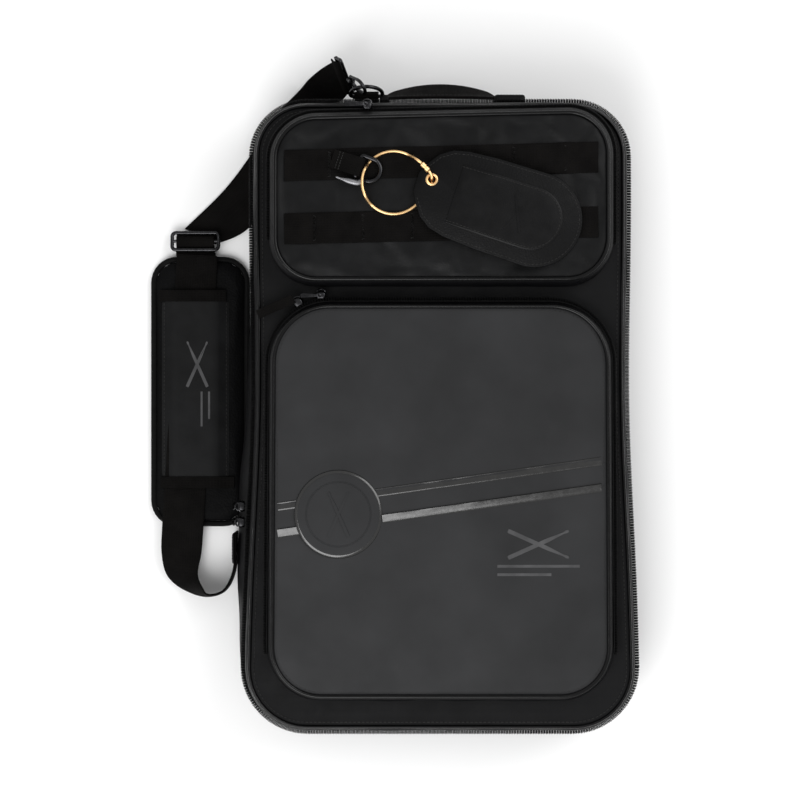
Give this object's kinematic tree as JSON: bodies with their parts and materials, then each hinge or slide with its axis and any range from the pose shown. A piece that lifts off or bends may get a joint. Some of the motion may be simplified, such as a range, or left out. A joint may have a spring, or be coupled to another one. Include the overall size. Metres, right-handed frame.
{
  "type": "drum stick bag",
  "caption": "Zipped flat bag for drum sticks with two front pockets, a carry handle, a clip-on shoulder strap with a pad and a leather tag on a key cable",
  "frame": {"origin": "Middle of the flat back pad, on the table the bag lies on.", "axes": "+Z is the front of the bag, which faces up as it lies on its back. +Y runs along the length to the handle end. +X runs across to the side that hinges, opposite the strap and pad."},
  "size_m": [0.3892, 0.5337, 0.1116],
  "materials": {
    "black_fabric": "matt black coated polyester",
    "panel": "smooth dark grey synthetic leather",
    "piping": "glossy black vinyl piping",
    "webbing": "ribbed black polypropylene webbing",
    "zip": "black nylon coil on woven tape",
    "black_metal": "black nickel plated zinc",
    "silver": "nickel plated steel",
    "gold": "polished gold coloured plating",
    "tag_leather": "black grained leather",
    "gloss_vinyl": "high gloss black vinyl",
    "pad_mesh": "foam cushion in black fabric",
    "lining": "plain black lining"
  },
  "bodies": {
    "case": {"back_pad": "pad_mesh", "rear_shell": "black_fabric", "rear_piping": "piping", "rear_zip_chain": "zip", "hinge_zip_chain": "zip", "stick_sleeve_left": "lining", "stick_sleeve_right": "lining", "carry_handle": "webbing", "handle_anchor_left": "tag_leather", "handle_anchor_right": "tag_leather", "top_ring_tab": "webbing", "hook_strap_loop": "black_metal", "strap_upper": "webbing", "tri_glide": "black_metal", "strap_lower": "webbing", "strap_anchor_patch": "tag_leather"},
    "lid": {"lid_shell": "black_fabric", "lid_piping": "piping", "lid_zip_chain": "zip", "lid_inner_pocket": "lining", "lower_pocket_gusset": "black_fabric", "lower_pocket_lip": "panel", "lower_pocket_zip": "zip", "upper_pocket_gusset": "black_fabric", "upper_pocket_zip": "zip"},
    "lower_flap": {"lower_pocket_flap": "panel", "lower_flap_piping": "piping", "badge": "tag_leather", "gloss_band_upper": "gloss_vinyl", "gloss_band_lower": "gloss_vinyl"},
    "upper_flap": {"upper_pocket_flap": "panel", "upper_flap_piping": "piping", "webbing_row_upper": "webbing", "webbing_row_lower": "webbing", "key_tab": "webbing"},
    "key_clip": {"key_hook": "black_metal"},
    "key_clip_lever": {"key_lever": "silver"},
    "key_cable": {"cable_ring": "gold"},
    "key_cable_barrel": {"ring_barrel": "gold"},
    "address_tag": {"tag_back": "tag_leather", "tag_window": "tag_leather", "tag_eyelet": "gold"},
    "d_ring": {"top_d_ring": "black_metal"},
    "snap_hook": {"strap_hook": "black_metal"},
    "snap_hook_gate": {"hook_gate": "black_metal"},
    "pad": {"shoulder_pad": "pad_mesh", "pad_panel": "panel", "pad_band_upper": "webbing", "pad_band_lower": "webbing"},
    "main_slider_a": {"main_slider_upper": "black_metal"},
    "main_pull_a": {"main_pull_upper": "black_metal"},
    "main_slider_b": {"main_slider_lower": "black_metal"},
    "main_pull_b": {"main_pull_lower": "black_metal"},
    "pocket_slider_a": {"pocket_slider_corner": "black_metal"},
    "pocket_pull_a": {"pocket_pull_corner": "webbing"},
    "pocket_slider_b": {"pocket_slider_top": "black_metal"},
    "pocket_pull_b": {"pocket_pull_top": "black_metal"},
    "upper_pocket_slider": {"upper_slider": "black_metal"},
    "upper_pocket_pull": {"upper_pull": "black_metal"}
  },
  "joints": [
    {"name": "lid_hinge", "type": "hinge", "parent": "case", "child": "lid", "pos_m": [0.15331, 0, 0.053], "axis": [-0.0162, 0.9999, 0], "range_deg": [0, 160]},
    {"name": "lower_flap_fold", "type": "hinge", "parent": "lid", "child": "lower_flap", "pos_m": [0, -0.187, 0.0968], "axis": [1, 0, 0], "range_deg": [0, 150]},
    {"name": "upper_flap_fold", "type": "hinge", "parent": "lid", "child": "upper_flap", "pos_m": [0, 0.1018, 0.096], "axis": [1, 0, 0], "range_deg": [0, 70]},
    {"name": "key_clip_swing", "type": "hinge", "parent": "upper_flap", "child": "key_clip", "pos_m": [-0.0635, 0.1933, 0.1058], "axis": [0, 0, 1], "range_deg": [0, 8]},
    {"name": "key_clip_lever_press", "type": "hinge", "parent": "key_clip", "child": "key_clip_lever", "pos_m": [-0.06491, 0.18093, 0.1058], "axis": [0, 0, 1], "range_deg": [0, 20], "stiffness_Nm_per_rad": 0.01},
    {"name": "key_cable_swing", "type": "hinge", "parent": "key_clip", "child": "key_cable", "pos_m": [-0.0365, 0.1811, 0.103], "axis": [0, 0, 1], "range_deg": [0, 8]},
    {"name": "key_cable_barrel_spin", "type": "hinge", "parent": "key_cable", "child": "key_cable_barrel", "pos_m": [-0.01213, 0.19265, 0.1098], "axis": [-0.6899, 0.7239, 0], "continuous": true},
    {"name": "tag_swing", "type": "hinge", "parent": "key_cable", "child": "address_tag", "pos_m": [-0.0069, 0.1832, 0.105], "axis": [0, 0, 1], "range_deg": [-5, 20]},
    {"name": "d_ring_swing", "type": "hinge", "parent": "case", "child": "d_ring", "pos_m": [-0.058, 0.2534, 0.047], "axis": [1, 0, 0], "range_deg": [-8, 4]},
    {"name": "snap_hook_swivel", "type": "hinge", "parent": "case", "child": "snap_hook", "pos_m": [-0.0714, 0.26578, 0.05032], "axis": [-0.5295, 0.3814, -0.7577], "range_deg": [-15, 15]},
    {"name": "snap_hook_gate_press", "type": "hinge", "parent": "snap_hook", "child": "snap_hook_gate", "pos_m": [-0.07081, 0.26818, 0.0564], "axis": [0.7956, 0.5333, -0.2875], "range_deg": [0, 15], "stiffness_Nm_per_rad": 0.01},
    {"name": "pad_slide", "type": "slide", "parent": "case", "child": "pad", "axis": [-0.0537, -0.9986, 0], "range_m": [-0.002, 0.006]},
    {"name": "main_slider_a_run", "type": "slide", "parent": "case", "child": "main_slider_a", "axis": [0.0162, 0.9999, 0], "range_m": [0, 0.261]},
    {"name": "main_pull_a_lift", "type": "hinge", "parent": "main_slider_a", "child": "main_pull_a", "pos_m": [-0.16075, -0.071, 0.053], "axis": [0, 1, 0], "range_deg": [0, 100]},
    {"name": "main_slider_b_run", "type": "slide", "parent": "case", "child": "main_slider_b", "axis": [-0.0162, -0.9999, 0], "range_m": [0, 0.101]},
    {"name": "main_pull_b_lift", "type": "hinge", "parent": "main_slider_b", "child": "main_pull_b", "pos_m": [-0.16096, -0.0835, 0.053], "axis": [0, 1, 0], "range_deg": [0, 100]},
    {"name": "pocket_slider_a_run", "type": "hinge", "parent": "lid", "child": "pocket_slider_a", "pos_m": [-0.0868, 0.0415, 0.0865], "axis": [0, 0, 1], "range_deg": [0, 58]},
    {"name": "pocket_pull_a_lift", "type": "hinge", "parent": "pocket_slider_a", "child": "pocket_pull_a", "pos_m": [-0.1145, 0.0915, 0.0918], "axis": [-0.3961, 0.9182, 0], "range_deg": [0, 90]},
    {"name": "pocket_slider_b_run", "type": "slide", "parent": "lid", "child": "pocket_slider_b", "axis": [1, 0, 0], "range_m": [0, 0.175]},
    {"name": "pocket_pull_b_lift", "type": "hinge", "parent": "pocket_slider_b", "child": "pocket_pull_b", "pos_m": [-0.093, 0.0942, 0.0911], "axis": [0, 1, 0], "range_deg": [0, 120]},
    {"name": "upper_pocket_slider_run", "type": "slide", "parent": "lid", "child": "upper_pocket_slider", "axis": [0.9997, 0.0225, 0], "range_m": [-0.025, 0.15]},
    {"name": "upper_pocket_pull_lift", "type": "hinge", "parent": "upper_pocket_slider", "child": "upper_pocket_pull", "pos_m": [-0.057, 0.2428, 0.0946], "axis": [-0.0225, 0.9997, 0], "range_deg": [0, 110]}
  ]
}
